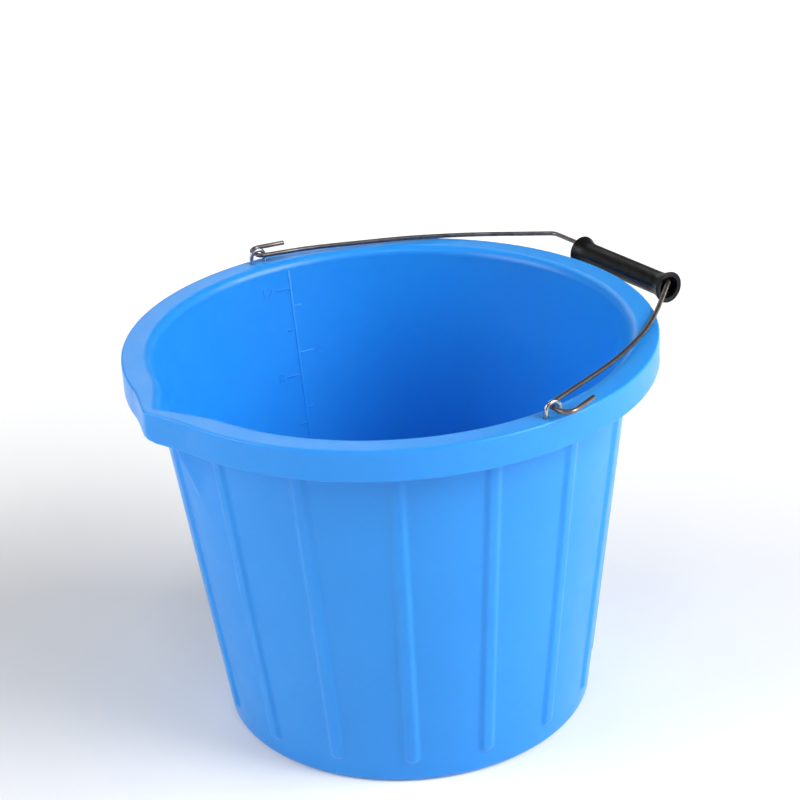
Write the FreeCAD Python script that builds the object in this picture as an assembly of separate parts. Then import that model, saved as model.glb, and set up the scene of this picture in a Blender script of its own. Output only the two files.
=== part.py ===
"""Feed bucket: a moulded plastic pail with a pouring lip, two wire eyes, a wire bail and a hand grip.

Frame: origin at the middle of the base's underside, +Z up. The pouring lip points to -Y, the eyes
stand on the rim at +X and -X, and the bail lies on the rim with its grip towards +Y.
Lengths are millimetres and angles are degrees.
"""
import FreeCAD, Part
import math
import os

Vector = FreeCAD.Vector

# ---- bucket shell -------------------------------------------------------------------------------
HEIGHT = 252.0                # base underside to top of rim
BASE_RADIUS = 118.0           # outer wall, extrapolated to the underside
WALL_SLOPE = 0.128            # outward lean of the wall per millimetre of height
WALL = 2.5
BASE_THICKNESS = 3.0
BASE_EDGE_RADIUS = 5.0        # outside rounding between wall and base
BASE_INNER_RADIUS = 8.0       # inside rounding between wall and base

# ---- rim ----------------------------------------------------------------------------------------
RIM_RADIUS = 166.0            # outside of the turned-down skirt
RIM_THICKNESS = 2.5           # flat flange on top
SKIRT_DROP = 19.2             # top of rim to the skirt's lower edge
SKIRT_THICKNESS = 2.4
RIM_EDGE_RADIUS = 2.4         # rounding at the rim's outer top edge
RIM_MOUTH_RADIUS = 4.0        # rounding from the wall's inside on to the flange

# ---- pouring lip --------------------------------------------------------------------------------
LIP_OUTER_TIP = 173.4         # reach of the skirt's point from the axis
LIP_OUTER_HALF = 31.0         # half width where the skirt leaves the circle
LIP_INNER_TIP = 167.4         # reach of the channel's point at the top of the rim
LIP_INNER_HALF = 35.0         # half width of the channel at the top of the rim
LIP_APEX_HEIGHT = 185.0       # where the channel runs out into the wall
LIP_APEX_HALF = 1.5           # half width of the channel there

# ---- ribs ---------------------------------------------------------------------------------------
RIB_COUNT = 16
RIB_WIDTH = 11.0
RIB_PROUD = 1.8
RIB_FOOT = 20.0               # height where the rib's round foot begins

# ---- measuring scale moulded on the inner wall ---------------------------------------------------
SCALE_ANGLE = 173.5           # place round the wall, from +X
SCALE_PROUD = 0.5
SCALE_LINE_WIDTH = 1.6
SCALE_BOTTOM = 14.0
SCALE_TOP = 246.0
GALLON_TICKS = (221.0, 188.0, 149.0, 110.0, 64.5)          # half gallons, on the +Y side of the line
LITRE_TICKS = (234.0, 205.0, 173.0, 138.0, 99.0, 59.0)     # two-litre steps, on the -Y side
TICK_LONG = 11.0
TICK_SHORT = 6.0

# ---- wire eyes ----------------------------------------------------------------------------------
EYE_X = 160.0                 # plane of each staple
EYE_Y = 2.0                   # middle of each staple, and the bail's pivot line
EYE_WIRE_RADIUS = 1.4
EYE_HALF_SPAN = 5.0           # half the distance between leg centres
EYE_RISE = 10.0               # top of the arch above the rim
EYE_HOLE_CLEARANCE = 0.08
EYE_CLINCH_BEND = 2.0
EYE_CLINCH_LENGTH = 4.5

# ---- bail ---------------------------------------------------------------------------------------
BAIL_WIRE_RADIUS = 1.5
PIVOT_ABOVE_RIM = 5.2
BAIL_REST_ANGLE = -1.50       # below horizontal, wire just clear of the rim's outer edge
HOOK_CORNER = 174.0           # where the hook turns back, outside the eye
HOOK_TAIL = (166.0, 24.6, 1.6)     # cut end: from the middle, from the pivot axis, above its plane
HOOK_BEND = 6.0
# Corners of each side of the bail, as distance from the middle and distance from the pivot axis.
# The wire is bent by hand, so its two sides differ a little.
RIGHT_CORNERS = ((156.0, 0.0), (131.0, 69.5), (107.5, 113.0), (85.0, 142.2), (51.0, 181.0))
RIGHT_BENDS = (3.2, 280.0, 200.0, 400.0, 7.0)
LEFT_CORNERS = ((157.7, 0.0), (149.5, 36.0), (122.0, 102.0), (100.0, 137.5), (66.5, 181.0))
LEFT_BENDS = (3.2, 180.0, 220.0, 350.0, 7.0)

# ---- hand grip ----------------------------------------------------------------------------------
GRIP_REACH = 181.0            # pivot axis to grip axis, along the bail
GRIP_DROP = 4.5               # the loose grip hangs this far below the wire
GRIP_SLIDE = 7.4              # middle of the grip from the middle of the bucket
GRIP_HALF_LENGTH = 44.5
GRIP_RADIUS = 7.6
GRIP_END_RADIUS = 10.3
GRIP_STRAIGHT_HALF = 33.0     # half length of the even middle part
GRIP_EDGE_RADIUS = 1.2
GRIP_BORE_RADIUS = 6.2
GRIP_RECESS_RADIUS = 7.1
GRIP_RECESS_DEPTH = 5.0

PIVOT_HEIGHT = HEIGHT + PIVOT_ABOVE_RIM
LEAN = math.atan(WALL_SLOPE)
Z_AXIS = Vector(0, 0, 1)


def wall_radius(z):
    """Outer radius of the plain wall at height z."""
    return BASE_RADIUS + WALL_SLOPE * z


def arc_points(centre, radius, start, end):
    """Start, middle and end of an arc in the RZ plane, with angles in degrees."""
    angles = (start, (start + end) / 2.0, end)
    return [Vector(centre[0] + radius * math.cos(math.radians(a)), 0,
                   centre[1] + radius * math.sin(math.radians(a))) for a in angles]


def revolve(pieces):
    """Solid of revolution about Z from a closed outline of points and three-point arcs."""
    edges = []
    first = pieces[0][0]
    last = first
    for piece in pieces:
        if (piece[0] - last).Length > 1e-7:
            edges.append(Part.LineSegment(last, piece[0]).toShape())
        if len(piece) == 3:
            edges.append(Part.Arc(*piece).toShape())
        last = piece[-1]
    edges.append(Part.LineSegment(last, first).toShape())
    face = Part.Face(Part.Wire(edges))
    return face.revolve(Vector(0, 0, 0), Z_AXIS, 360)


def point(radius, z):
    """One corner of an outline in the RZ plane."""
    return [Vector(radius, 0, z)]


def shell_outside():
    """Solid filling of wall, base, flange and skirt, before anything is hollowed out."""
    bottom_turn = arc_points((wall_radius(BASE_EDGE_RADIUS) - BASE_EDGE_RADIUS, BASE_EDGE_RADIUS),
                             BASE_EDGE_RADIUS, -90, -math.degrees(LEAN))
    top_edge = arc_points((RIM_RADIUS - RIM_EDGE_RADIUS, HEIGHT - RIM_EDGE_RADIUS),
                          RIM_EDGE_RADIUS, 0, 90)
    flange_under = HEIGHT - RIM_THICKNESS
    skirt_inner = RIM_RADIUS - SKIRT_THICKNESS
    return revolve([
        point(0, 0),
        bottom_turn,
        point(wall_radius(flange_under), flange_under),
        point(skirt_inner, flange_under),
        point(skirt_inner, HEIGHT - SKIRT_DROP),
        point(RIM_RADIUS, HEIGHT - SKIRT_DROP),
        top_edge,
        point(0, HEIGHT),
    ])


def shell_inside():
    """Solid of the space inside the bucket, with its rounded mouth and base corner."""
    def inner(z):
        return wall_radius(z) - WALL
    floor_turn = arc_points((inner(BASE_THICKNESS + BASE_INNER_RADIUS) - BASE_INNER_RADIUS,
                             BASE_THICKNESS + BASE_INNER_RADIUS),
                            BASE_INNER_RADIUS, -90, -math.degrees(LEAN))
    mouth_z = HEIGHT - RIM_MOUTH_RADIUS
    mouth = arc_points((inner(mouth_z) + RIM_MOUTH_RADIUS, mouth_z), RIM_MOUTH_RADIUS, 180, 90)
    over = HEIGHT + 10.0
    return revolve([
        point(0, BASE_THICKNESS),
        floor_turn,
        mouth,
        point(mouth[-1].x, over),
        point(0, over),
    ])


def lip_outline(tip, half, circle, z, root):
    """Closed outline of the lip in plan: two straight sides that meet in a point, closed at root."""
    side = -math.sqrt(circle ** 2 - half ** 2)
    corners = [Vector(-half, root, z), Vector(-half, side, z), Vector(0, -tip, z),
               Vector(half, side, z), Vector(half, root, z), Vector(-half, root, z)]
    return Part.makePolygon(corners)


def prism(outline, rise):
    """Upright solid on a flat outline."""
    return Part.Face(outline).extrude(Vector(0, 0, rise))


def lip_channel(grow):
    """Tapered space of the pouring channel, grown outwards by a wall's thickness."""
    top_mouth = wall_radius(HEIGHT) - WALL + grow
    top = lip_outline(LIP_INNER_TIP + grow, LIP_INNER_HALF + grow, top_mouth + RIM_MOUTH_RADIUS,
                      HEIGHT, -top_mouth + 25.0)
    low_radius = wall_radius(LIP_APEX_HEIGHT) - WALL + grow
    low = lip_outline(low_radius + 0.2, LIP_APEX_HALF + grow, low_radius, LIP_APEX_HEIGHT,
                      -low_radius + 25.0)
    return Part.makeLoft([low, top], True, True)


def lip_skirt(inset):
    """Solid of the lip's outside from the skirt's lower edge up, moved inwards by inset."""
    outline = lip_outline(LIP_OUTER_TIP - inset, LIP_OUTER_HALF, RIM_RADIUS - inset,
                          HEIGHT - SKIRT_DROP, -RIM_RADIUS + 30.0)
    return prism(outline, SKIRT_DROP)


def round_lip_edge(solid):
    """Round the lip's top outer edges to match the rim."""
    tip_line = [e for e in solid.Edges if lip_top_edge(e)]
    return solid.makeFillet(RIM_EDGE_RADIUS, tip_line)


def lip_top_edge(edge):
    """True for the two straight top edges that meet at the lip's point."""
    ends = [v.Point for v in edge.Vertexes]
    on_top = all(abs(p.z - HEIGHT) < 1e-6 for p in ends)
    at_tip = any(abs(p.y + LIP_OUTER_TIP) < 1e-3 for p in ends)
    return on_top and at_tip


def rib():
    """One round-backed rib along the wall at +X, with a round foot."""
    radius = ((RIB_WIDTH / 2.0) ** 2 + RIB_PROUD ** 2) / (2.0 * RIB_PROUD)
    sink = radius - RIB_PROUD
    top = HEIGHT - RIM_THICKNESS
    along = Vector(math.sin(LEAN), 0, math.cos(LEAN))
    foot = Vector(wall_radius(RIB_FOOT) - sink * math.cos(LEAN), 0,
                  RIB_FOOT + sink * math.sin(LEAN))
    length = (top - foot.z) / math.cos(LEAN)
    bar = Part.makeCylinder(radius, length, foot, along)
    ball = Part.makeSphere(radius, foot)
    above = Part.makeBox(60, 60, 60, Vector(wall_radius(top) - 45, -30, top))
    return bar.fuse(ball).cut(above)


def scale_bar(z_low, z_high, side_low, side_high):
    """A raised bar on the inner wall at +X, between two heights and two sideways limits."""
    middle = (z_low + z_high) / 2.0
    length = (z_high - z_low) / math.cos(LEAN)
    sunk = 0.9
    bar = Part.makeBox(SCALE_PROUD + sunk, side_high - side_low, length,
                       Vector(-SCALE_PROUD, side_low, -length / 2.0))
    bar.rotate(Vector(0, 0, 0), Vector(0, 1, 0), math.degrees(LEAN))
    bar.translate(Vector(wall_radius(middle) - WALL / math.cos(LEAN), 0, middle))
    return bar


def measuring_scale():
    """Upright line with ticks on both sides, raised from the inner wall by the far eye."""
    half = SCALE_LINE_WIDTH / 2.0
    bars = [scale_bar(SCALE_BOTTOM, SCALE_TOP, -half, half)]
    # Seen from the axis towards the wall at this angle, +Y lies on the bar's negative side.
    for side, heights in ((-1, GALLON_TICKS), (1, LITRE_TICKS)):
        for index, height in enumerate(heights):
            long_tick = (index % 2 == 1) == (side < 0)
            reach = TICK_LONG if long_tick else TICK_SHORT
            low, high = sorted((0.0, side * reach))
            bars.append(scale_bar(height - 0.7, height + 0.7, low, high))
    for bar in bars:
        bar.rotate(Vector(0, 0, 0), Z_AXIS, SCALE_ANGLE)
    return bars


def eye_holes():
    """Four holes through the flange for the legs of the eyes."""
    radius = EYE_WIRE_RADIUS + EYE_HOLE_CLEARANCE
    return [Part.makeCylinder(radius, RIM_THICKNESS + 2.0,
                              Vector(sx * EYE_X, EYE_Y + sy * EYE_HALF_SPAN,
                                     HEIGHT - RIM_THICKNESS - 1.0))
            for sx in (-1, 1) for sy in (-1, 1)]


def bucket_body():
    """The whole moulding: wall, base, rim, pouring lip, ribs and measuring scale."""
    lip_shell = round_lip_edge(lip_skirt(0.0)).cut(
        lip_skirt(SKIRT_THICKNESS).translated(Vector(0, 0, -RIM_THICKNESS)))
    inside_wall = revolve([point(0, 0), point(wall_radius(0), 0),
                           point(wall_radius(HEIGHT), HEIGHT), point(0, HEIGHT)])
    body = shell_outside()
    body = body.cut(lip_skirt(SKIRT_THICKNESS).cut(inside_wall).translated(
        Vector(0, 0, -RIM_THICKNESS)))
    adds = [lip_shell, lip_channel(WALL)]
    for number in range(RIB_COUNT):
        bar = rib()
        bar.rotate(Vector(0, 0, 0), Z_AXIS, (number + 0.5) * 360.0 / RIB_COUNT)
        adds.append(bar)
    body = body.multiFuse(adds)
    body = body.cut(shell_inside())
    body = body.cut(lip_channel(0.0))
    body = body.multiFuse(measuring_scale())
    for hole in eye_holes():
        body = body.cut(hole)
    return body.removeSplitter()


def tube(wire, radius):
    """Round bar of the given radius along a wire."""
    start = wire.Edges[0]
    origin = start.valueAt(start.FirstParameter)
    heading = start.tangentAt(start.FirstParameter)
    ring = Part.Wire(Part.makeCircle(radius, origin, heading))
    return wire.makePipeShell([ring], True, True)


def bent_wire(corners, bends):
    """Wire through corner points, each inner corner turned by an arc of its own bend radius."""
    edges = []
    last = corners[0]
    for before, corner, after, bend in zip(corners, corners[1:], corners[2:], bends):
        back = (before - corner).normalize()
        ahead = (after - corner).normalize()
        half = back.getAngle(ahead) / 2.0
        reach = bend / math.tan(half)
        enter = corner + back * reach
        leave = corner + ahead * reach
        middle_way = (back + ahead).normalize()
        crown = corner + middle_way * (bend / math.sin(half) - bend)
        edges.append(Part.LineSegment(last, enter).toShape())
        edges.append(Part.Arc(enter, crown, leave).toShape())
        last = leave
    edges.append(Part.LineSegment(last, corners[-1]).toShape())
    return Part.Wire(edges)


def eye(side):
    """Wire staple standing through the flange, its ends clinched underneath; side is +1 or -1."""
    x = side * EYE_X
    arch_z = HEIGHT + EYE_RISE - EYE_WIRE_RADIUS - EYE_HALF_SPAN
    leg_end = HEIGHT - RIM_THICKNESS
    clinch_z = leg_end - EYE_CLINCH_BEND
    span = EYE_HALF_SPAN
    reach = span + EYE_CLINCH_BEND
    diagonal = EYE_CLINCH_BEND * (1.0 - math.sqrt(0.5))
    edges = []
    edges.append(Part.LineSegment(Vector(x, -reach - EYE_CLINCH_LENGTH, clinch_z),
                                  Vector(x, -reach, clinch_z)).toShape())
    edges.append(Part.Arc(Vector(x, -reach, clinch_z),
                          Vector(x, -span - diagonal, clinch_z + diagonal),
                          Vector(x, -span, leg_end)).toShape())
    edges.append(Part.LineSegment(Vector(x, -span, leg_end), Vector(x, -span, arch_z)).toShape())
    edges.append(Part.Arc(Vector(x, -span, arch_z), Vector(x, 0, arch_z + span),
                          Vector(x, span, arch_z)).toShape())
    edges.append(Part.LineSegment(Vector(x, span, arch_z), Vector(x, span, leg_end)).toShape())
    edges.append(Part.Arc(Vector(x, span, leg_end),
                          Vector(x, span + diagonal, clinch_z + diagonal),
                          Vector(x, reach, clinch_z)).toShape())
    edges.append(Part.LineSegment(Vector(x, reach, clinch_z),
                                  Vector(x, reach + EYE_CLINCH_LENGTH, clinch_z)).toShape())
    return tube(Part.Wire(edges), EYE_WIRE_RADIUS).translated(Vector(0, EYE_Y, 0))


def lay_down(shape):
    """Move a shape from the bail's own plane, pivot at the origin, to its rest place."""
    shape.rotate(Vector(0, 0, 0), Vector(1, 0, 0), BAIL_REST_ANGLE)
    shape.translate(Vector(0, EYE_Y, PIVOT_HEIGHT))
    return shape


def bail_side(side, corners):
    """Corner points of one side of the bail from its cut end inwards; side is +1 or -1."""
    tail_x, tail_y, tail_z = HOOK_TAIL
    hook = [Vector(side * tail_x, tail_y, tail_z), Vector(side * HOOK_CORNER, 0, 0)]
    return hook + [Vector(side * x, y, 0) for x, y in corners]


def bail_wire():
    """One length of wire: hook, side, grip bar, side and hook."""
    corners = bail_side(1, RIGHT_CORNERS) + bail_side(-1, LEFT_CORNERS)[::-1]
    bends = (HOOK_BEND,) + RIGHT_BENDS + LEFT_BENDS[::-1] + (HOOK_BEND,)
    wire = bent_wire(corners, bends)
    return lay_down(tube(wire, BAIL_WIRE_RADIUS))


def hand_grip():
    """Plastic tube round the bail's middle, flared at both ends, with a recess in each end."""
    half = GRIP_HALF_LENGTH
    flat = GRIP_STRAIGHT_HALF
    rise = GRIP_END_RADIUS - GRIP_RADIUS
    run = half - GRIP_EDGE_RADIUS - flat
    flare = (run ** 2 + rise ** 2) / (2.0 * rise)
    part_angle = math.asin(run / flare) / 2.0
    part_way = (flare * math.sin(part_angle), flare * (1.0 - math.cos(part_angle)))
    corner = GRIP_EDGE_RADIUS * math.sqrt(0.5)
    edge_x = half - GRIP_EDGE_RADIUS
    edge_r = GRIP_END_RADIUS - GRIP_EDGE_RADIUS

    def at(x, r, side):
        return Vector(side * x, r, 0)

    def outer_half(side):
        """Edges from the middle of the outside to the bore's recess, on one side."""
        return [
            Part.LineSegment(at(0, GRIP_RADIUS, side), at(flat, GRIP_RADIUS, side)),
            Part.Arc(at(flat, GRIP_RADIUS, side),
                     at(flat + part_way[0], GRIP_RADIUS + part_way[1], side),
                     at(edge_x, GRIP_END_RADIUS, side)),
            Part.Arc(at(edge_x, GRIP_END_RADIUS, side), at(edge_x + corner, edge_r + corner, side),
                     at(half, edge_r, side)),
            Part.LineSegment(at(half, edge_r, side), at(half, GRIP_RECESS_RADIUS, side)),
            Part.LineSegment(at(half, GRIP_RECESS_RADIUS, side),
                             at(half - GRIP_RECESS_DEPTH, GRIP_RECESS_RADIUS, side)),
            Part.LineSegment(at(half - GRIP_RECESS_DEPTH, GRIP_RECESS_RADIUS, side),
                             at(half - GRIP_RECESS_DEPTH, GRIP_BORE_RADIUS, side)),
            Part.LineSegment(at(half - GRIP_RECESS_DEPTH, GRIP_BORE_RADIUS, side),
                             at(0, GRIP_BORE_RADIUS, side)),
        ]

    edges = [curve.toShape() for side in (1, -1) for curve in outer_half(side)]
    outline = Part.Wire(Part.__sortEdges__(edges))
    grip = Part.Face(outline).revolve(Vector(0, 0, 0), Vector(1, 0, 0), 360)
    grip.translate(Vector(GRIP_SLIDE, GRIP_REACH, -GRIP_DROP))
    return lay_down(grip)


def main():
    """Write one STEP file for each piece."""
    os.makedirs("parts", exist_ok=True)
    pieces = {
        "bucket_body": bucket_body(),
        "eye_right": eye(1),
        "eye_left": eye(-1),
        "bail_wire": bail_wire(),
        "hand_grip": hand_grip(),
    }
    for name, shape in pieces.items():
        box = shape.BoundBox
        print(name, shape.ShapeType, "solids", len(shape.Solids), "valid", shape.isValid(),
              "volume_cm3 %.1f" % (shape.Volume / 1000.0),
              "x %.1f..%.1f y %.1f..%.1f z %.1f..%.1f"
              % (box.XMin, box.XMax, box.YMin, box.YMax, box.ZMin, box.ZMax))
        shape.exportStep(os.path.join("parts", name + ".step"))


main()
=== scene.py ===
"""Feed bucket: a blue moulding with a pouring lip, two zinc-plated eyes, a wire bail and a grip."""
import logging
import math
from dataclasses import dataclass
from enum import Enum

import bpy
import numpy as np
from mathutils import Matrix, Vector


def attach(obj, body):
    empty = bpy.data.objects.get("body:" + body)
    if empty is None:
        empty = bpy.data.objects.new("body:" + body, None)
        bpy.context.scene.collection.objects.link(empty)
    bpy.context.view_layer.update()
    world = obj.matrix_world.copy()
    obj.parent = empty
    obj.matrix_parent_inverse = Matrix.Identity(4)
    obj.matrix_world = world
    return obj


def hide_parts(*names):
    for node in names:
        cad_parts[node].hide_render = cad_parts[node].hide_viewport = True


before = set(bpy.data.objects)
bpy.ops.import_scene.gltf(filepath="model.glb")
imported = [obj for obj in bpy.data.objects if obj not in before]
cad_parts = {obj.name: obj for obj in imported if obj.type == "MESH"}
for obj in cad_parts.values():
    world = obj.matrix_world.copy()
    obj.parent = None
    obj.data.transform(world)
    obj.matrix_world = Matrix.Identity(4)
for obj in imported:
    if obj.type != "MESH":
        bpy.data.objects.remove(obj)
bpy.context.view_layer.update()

log = logging.getLogger("feed_bucket")

MM = 0.001                      # metres in a millimetre
WELD = 2e-6                     # points closer than this are one point, in metres
FAINT = 1e-4                    # a share of a movement that is too small to make
WHITE = "#ffffff"
MIX_SHARE, MIX_FIRST, MIX_SECOND, MIX_RESULT = 0, 6, 7, 2     # colour sockets of a Mix node


class Side(Enum):
    """Side of the bucket with its lip towards the viewer; the value is the sign of X."""

    RIGHT = 1
    LEFT = -1


# ---- small tools ----

def linear(value: str) -> tuple[float, float, float, float]:
    """Turn an sRGB hex colour into linear values.

    Args:
        value: Colour such as "#278ded".

    Returns:
        Linear red, green, blue and an alpha of one.
    """
    parts = [int(value[i:i + 2], 16) / 255.0 for i in (1, 3, 5)]
    red, green, blue = [p / 12.92 if p <= 0.04045 else ((p + 0.055) / 1.055) ** 2.4 for p in parts]
    return (red, green, blue, 1.0)


def arc(centre: tuple[float, float], radius: float, start: float, end: float,
        parts: int) -> list[tuple[float, float]]:
    """Points along an arc in a flat outline.

    Args:
        centre: Middle of the arc in millimetres.
        radius: Radius of the arc in millimetres.
        start: First angle in degrees.
        end: Last angle in degrees.
        parts: Number of chords.

    Returns:
        The points, both ends included.
    """
    angles = [math.radians(start + (end - start) * i / parts) for i in range(parts + 1)]
    return [(centre[0] + radius * math.cos(a), centre[1] + radius * math.sin(a)) for a in angles]


def steps(first: float, last: float, parts: int) -> list[float]:
    """Evenly spaced values from first to last, both included."""
    return [first + (last - first) * i / parts for i in range(parts + 1)]


def deselect() -> None:
    """Leave nothing selected and nothing active."""
    for thing in bpy.context.selected_objects:
        thing.select_set(False)
    bpy.context.view_layer.objects.active = None


def activate(piece: bpy.types.Object) -> None:
    """Select one piece only and make it the active one.

    Args:
        piece: The piece to select.
    """
    deselect()
    piece.select_set(True)
    bpy.context.view_layer.objects.active = piece


def name_new(name: str) -> bpy.types.Object:
    """Name the primitive just added, and its mesh.

    Args:
        name: The name for both.

    Returns:
        The primitive's object.
    """
    piece = bpy.context.object
    piece.name = name
    piece.data.name = name
    return piece


def draw_outline(name: str, points: list[Vector]) -> bpy.types.Object:
    """Draw an open chain of edges by extruding a single point again and again.

    Args:
        name: Name of the new piece.
        points: Places of the chain's points in metres.

    Returns:
        The piece, left in edit mode with all of the chain selected.
    """
    deselect()
    bpy.ops.mesh.primitive_plane_add(size=MM, location=(0.0, 0.0, 0.0))
    piece = name_new(name)
    bpy.ops.object.mode_set(mode="EDIT")
    bpy.ops.mesh.select_mode(type="VERT")
    bpy.ops.mesh.select_all(action="SELECT")
    bpy.ops.mesh.merge(type="CENTER")
    bpy.ops.transform.translate(value=points[0])
    last = points[0]
    for place in points[1:]:
        bpy.ops.mesh.extrude_vertices_move(TRANSFORM_OT_translate={"value": place - last})
        last = place
    bpy.ops.mesh.select_all(action="SELECT")
    return piece


def close_up() -> None:
    """Merge the doubled points of the mesh in edit mode and turn all its faces outwards."""
    bpy.ops.mesh.select_all(action="SELECT")
    bpy.ops.mesh.remove_doubles(threshold=WELD)
    bpy.ops.mesh.normals_make_consistent(inside=False)


def join(parts: list[bpy.types.Object]) -> bpy.types.Object:
    """Join parts into the first of them.

    Args:
        parts: The parts, which become one mesh.

    Returns:
        The joined piece.
    """
    activate(parts[0])
    for part in parts:
        part.select_set(True)
    bpy.ops.object.join()
    return parts[0]


def turn_outline(centre: Vector, axis: Vector, parts: int, sectors: int) -> None:
    """Spin the selected outline into a closed solid of revolution and leave edit mode.

    Args:
        centre: A point on the axis, in metres.
        axis: Direction of the axis.
        parts: Number of steps in the full turn.
        sectors: Number of equal sectors; one is spun and the others are copies of it.
    """
    bpy.ops.mesh.spin(steps=parts // sectors, angle=2.0 * math.pi / sectors, center=centre,
                      axis=axis, use_auto_merge=False)
    bpy.ops.mesh.select_all(action="SELECT")
    bpy.ops.mesh.spin(steps=sectors - 1, angle=2.0 * math.pi * (sectors - 1) / sectors,
                      center=centre, axis=axis, dupli=True, use_auto_merge=False)
    close_up()
    bpy.ops.object.mode_set(mode="OBJECT")


def points_of(piece: bpy.types.Object) -> np.ndarray:
    """Read the mesh points of a piece.

    Args:
        piece: The piece to read.

    Returns:
        The points in millimetres, one row each.
    """
    flat = np.empty(len(piece.data.vertices) * 3, np.float32)
    piece.data.vertices.foreach_get("co", flat)
    return flat.reshape(-1, 3).astype(float) / MM


def push_out(piece: bpy.types.Object, name: str, weights: np.ndarray, direction: str,
             strength: float) -> None:
    """Move part of a piece with an applied Displace modifier.

    Args:
        piece: The piece to change.
        name: Name of the vertex group and the modifier.
        weights: Share of the strength for each mesh point.
        direction: Displace direction, such as "NORMAL" or "Y".
        strength: Movement of a fully weighted point in millimetres.
    """
    group = piece.vertex_groups.new(name=name)
    for index in np.flatnonzero(weights > FAINT):
        group.add([int(index)], float(weights[index]), "REPLACE")
    activate(piece)
    bpy.ops.object.modifier_add(type="DISPLACE")
    shaper = piece.modifiers[-1]
    shaper.name = name
    shaper.direction = direction
    shaper.mid_level = 0.0
    shaper.strength = strength * MM
    shaper.vertex_group = name
    bpy.ops.object.modifier_apply(modifier=name)
    piece.vertex_groups.clear()


def combine(piece: bpy.types.Object, tool: bpy.types.Object, operation: str) -> None:
    """Cut a tool out of a piece or melt it into the piece, and remove the tool.

    Args:
        piece: The piece to change.
        tool: Closed mesh that doesn't overlap itself.
        operation: "DIFFERENCE" or "UNION".
    """
    activate(piece)
    bpy.ops.object.modifier_add(type="BOOLEAN")
    joiner = piece.modifiers[-1]
    joiner.operation = operation
    joiner.solver = "EXACT"
    joiner.object = tool
    bpy.ops.object.modifier_apply(modifier=joiner.name)
    bpy.data.objects.remove(tool)


def smooth(piece: bpy.types.Object, angle: float) -> None:
    """Shade smoothly, with edges over the angle in degrees kept crisp."""
    activate(piece)
    bpy.ops.object.shade_smooth_by_angle(angle=math.radians(angle))


def ease(share: np.ndarray) -> np.ndarray:
    """Smooth step from 0 to 1, with values outside held at the ends."""
    held = np.clip(share, 0.0, 1.0)
    return held * held * (3.0 - 2.0 * held)


def towards(azimuth: float, elevation: float) -> Vector:
    """Direction from the bucket to something that stands round it.

    Args:
        azimuth: Angle in degrees from the lip's side towards the right.
        elevation: Angle in degrees above the floor.

    Returns:
        The direction, one unit long.
    """
    turn, rise = math.radians(azimuth), math.radians(elevation)
    return Vector((math.sin(turn) * math.cos(rise), -math.cos(turn) * math.cos(rise), math.sin(rise)))


def report(piece: bpy.types.Object) -> None:
    """Log a finished piece with its size and number of faces.

    Args:
        piece: The finished piece.
    """
    spread = points_of(piece)
    size = spread.max(axis=0) - spread.min(axis=0)
    log.info("%s: %d faces, %.1f x %.1f x %.1f mm", piece.name, len(piece.data.polygons), *size)


def dress(piece: bpy.types.Object, finish: bpy.types.Material) -> None:
    """Give a piece its one material.

    Args:
        piece: The piece to dress.
        finish: Its material.
    """
    piece.data.materials.clear()
    piece.data.materials.append(finish)


# ---- finishes ----

def add_node(tree: bpy.types.NodeTree, kind: str, settings: dict | None = None,
             values: dict | None = None, links: dict | None = None) -> bpy.types.Node:
    """Add a node with its settings, socket values and links.

    Args:
        tree: The node tree.
        kind: Node type, such as "ShaderNodeBump".
        settings: Attributes of the node.
        values: Default values by input name or number.
        links: Output sockets by input name or number.

    Returns:
        The new node.
    """
    made = tree.nodes.new(kind)
    for name, value in (settings or {}).items():
        setattr(made, name, value)
    for name, value in (values or {}).items():
        made.inputs[name].default_value = value
    for name, source in (links or {}).items():
        tree.links.new(source, made.inputs[name])
    return made


def start_material(name: str) -> tuple[bpy.types.Material, bpy.types.NodeTree,
                                       bpy.types.Node, bpy.types.NodeSocket]:
    """Begin a procedural material.

    Args:
        name: The material's name.

    Returns:
        The material, its tree, its Principled shader and the Object coordinates.
    """
    material = bpy.data.materials.new(name)
    material.use_nodes = True
    tree = material.node_tree
    tree.nodes.clear()
    shader = add_node(tree, "ShaderNodeBsdfPrincipled")
    add_node(tree, "ShaderNodeOutputMaterial", links={"Surface": shader.outputs["BSDF"]})
    places = add_node(tree, "ShaderNodeTexCoord").outputs["Object"]
    return material, tree, shader, places


def per_metre(size: float) -> float:
    """Noise scale for features of a size in millimetres."""
    return 1.0 / (size * MM)


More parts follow.
